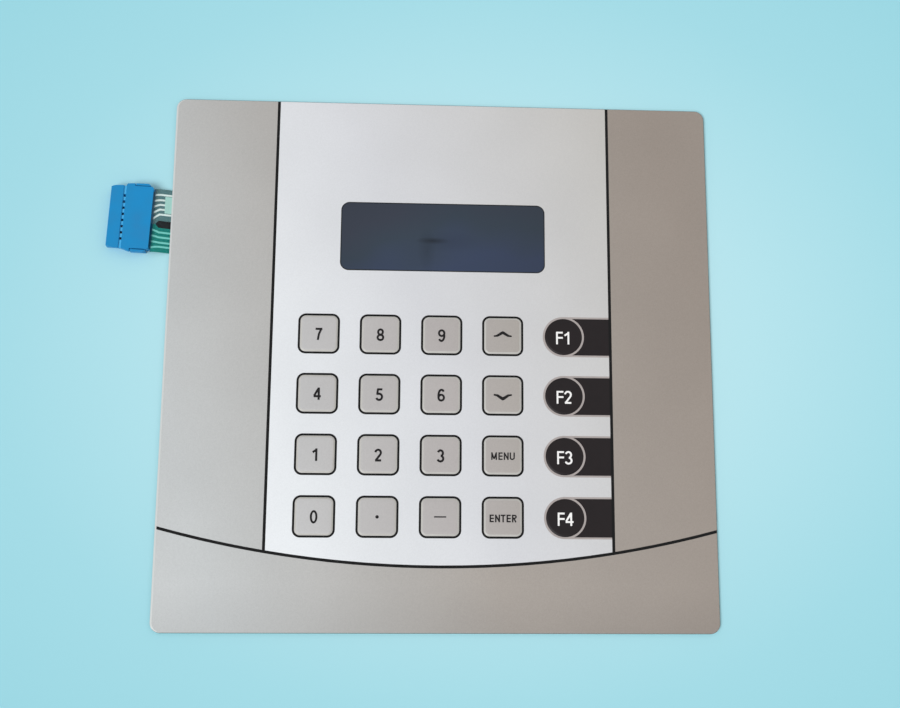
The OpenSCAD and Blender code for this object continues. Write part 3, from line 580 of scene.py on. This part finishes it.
film_sheet()
window_back()
legends("print_black", "legends_black", legend_black, DRAWN_IN, DRAWN_IN_BY_KEY)
legends("print_white", "legends_white", legend_white, DRAWN_IN_WHITE, {})
key_rims()
for row, names in enumerate((("7", "8", "9", "up"), ("4", "5", "6", "down"),
                             ("1", "2", "3", "menu"), ("0", "dot", "minus", "enter"))):
    for column, name in enumerate(names):
        key_cap(name, column, row)
for number in (1, 2, 3, 4):
    round_key(number)
for number in range(1, 6):
    lifted(f"conductor_{number}", f"column_{number}", conductor_up, -0.01)
lifted("dark_coat", "upper_coat", coat_dark, -0.02)
lifted("green_coat", "lower_coat", coat_green, 0.01)
moulded("housing_blue", "connector_housing", 0.12)
moulded("cover_blue", "connector_cover", 0.14)


# Pale floor with a painted pool of light, soft lamps and the camera of the photograph

# Half the floor's width and how far it lies below the part, in metres
FLOOR_HALF, FLOOR_DROP = 4, 0.00005


def floor():
    """A sheet of pale cyan paper with a painted pool of light: paler round the panel than farther
    out.
    """
    material, tree, shader, mm = start("Pale cyan studio floor", Roughness=0.6,
                                       Specular_IOR_Level=0.1)
    # Painted pool of light: the floor's tone pales towards this middle
    pool = add(tree, "Mapping", {"Vector": mm, "Location": (18, 12, 0), "Scale": (300, 235, 1)},
               vector_type="TEXTURE")
    fade = add(tree, "TexGradient", {"Vector": pool.outputs[0]}, gradient_type="SPHERICAL")
    tone = add(tree, "ValToRGB", {"Fac": fade.outputs["Fac"]},
               stops=[(0.0, "9AD9E6"), (1.0, "C8EEF6"), (0.33, "A6DFEB"), (0.62, "B9E8F2")])
    tree.links.new(tone.outputs[0], shader.inputs["Base Color"])
    bm = bmesh.new()
    bmesh.ops.create_grid(bm, x_segments=1, y_segments=1, size=FLOOR_HALF)
    bmesh.ops.translate(bm, vec=(0, 0, -FLOOR_DROP), verts=bm.verts)
    mesh = bpy.data.meshes.new("floor")
    bm.to_mesh(mesh)
    bm.free()
    mesh.materials.append(material)
    made = placed("floor", mesh)


def soft_lamp(name, tilt, turn, spread, strength, colour):
    """A far, wide lamp: tilt from the zenith and turn from +X of the place that it shines from,
    and the angle that it fills, all in degrees."""
    data = bpy.data.lights.new(name, "SUN")
    data.angle, data.energy, data.color = math.radians(spread), strength, linear(colour)[:3]
    lamp = placed(name, data)
    lamp.rotation_euler = (Matrix.Rotation(math.radians(turn), 3, "Z")
                           @ Matrix.Rotation(math.radians(tilt), 3, "Y")).to_euler()


def world():
    """A pale room: seen and mirrored at full strength, half as bright as a light."""
    made = bpy.data.worlds.new("studio")
    made.use_nodes = True
    tree = made.node_tree
    tree.nodes.clear()
    path = add(tree, "LightPath")
    mirrored = add(tree, "Math", {0: path.outputs["Is Camera Ray"],
                                  1: path.outputs["Is Glossy Ray"]}, operation="ADD")
    plain = add(tree, "Math", {0: mirrored.outputs[0], 1: path.outputs["Is Transmission Ray"]},
                operation="ADD", use_clamp=True)
    seen = add(tree, "Background", {"Color": linear("F1F3F3"), "Strength": 1.0})
    light = add(tree, "Background", {"Color": linear("F8F7F5"), "Strength": 0.50})
    mix = add(tree, "MixShader", {0: plain.outputs[0], 1: light.outputs[0], 2: seen.outputs[0]})
    add(tree, "OutputWorld", {"Surface": mix.outputs[0]})
    bpy.context.scene.world = made


def camera():
    """The photograph's camera, its lens, shift and place fitted to the keys, window and lines."""
    data = bpy.data.cameras.new("camera")
    data.sensor_width = 36
    data.lens = 62.965
    data.shift_x, data.shift_y = -0.07833, 0.01546
    made = placed("camera", data)
    made.location = (-0.0103168, -0.1589849, 0.6241898)
    made.rotation_euler = [math.radians(a) for a in (13.99137, -3.890347, -0.192736)]
    bpy.context.scene.camera = made


floor()
world()
soft_lamp("window_light", 38, 220, 34, 1.85, "FBFBFC")
soft_lamp("room_fill", 44, 30, 60, 0.25, "FFF8F0")
camera()
bpy.context.scene.view_settings.view_transform = "Standard"
